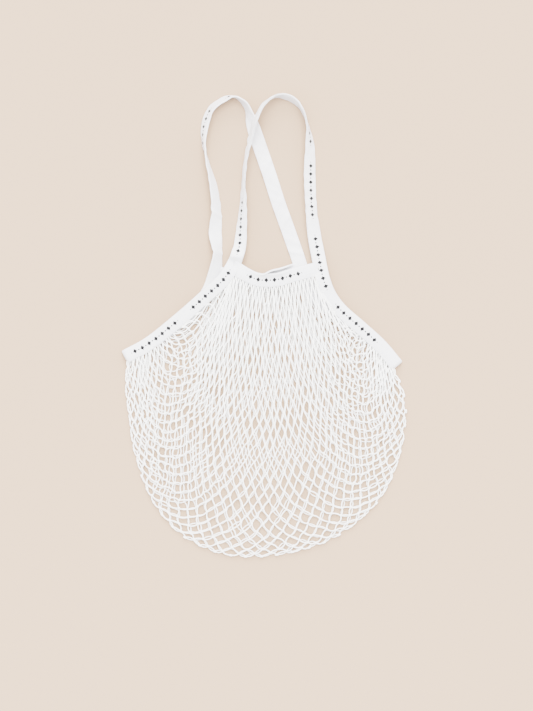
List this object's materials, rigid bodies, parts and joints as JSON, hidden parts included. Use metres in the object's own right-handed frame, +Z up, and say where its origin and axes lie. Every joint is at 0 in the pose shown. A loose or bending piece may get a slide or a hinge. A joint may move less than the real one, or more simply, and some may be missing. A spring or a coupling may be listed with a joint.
{
  "type": "net shopping bag",
  "caption": "Cotton net shopping bag lying flat, its mouth bound with folded tape that also makes two long carrying handles.",
  "frame": {"origin": "middle of the lying bag's outline, on the surface that it lies on", "axes": "+Y along the bag towards its handles, +X to the right as seen from above, +Z up from the surface, with the bag's front on top"},
  "size_m": [0.3828, 0.6262, 0.0268],
  "materials": {
    "cotton_net": "matt off-white knotted cotton yarn",
    "cotton_tape": "matt white woven cotton tape"
  },
  "bodies": {
    "root": {"net": "cotton_net", "handle_tape": "cotton_tape", "front_binding": "cotton_tape", "back_binding": "cotton_tape"}
  },
  "joints": []
}
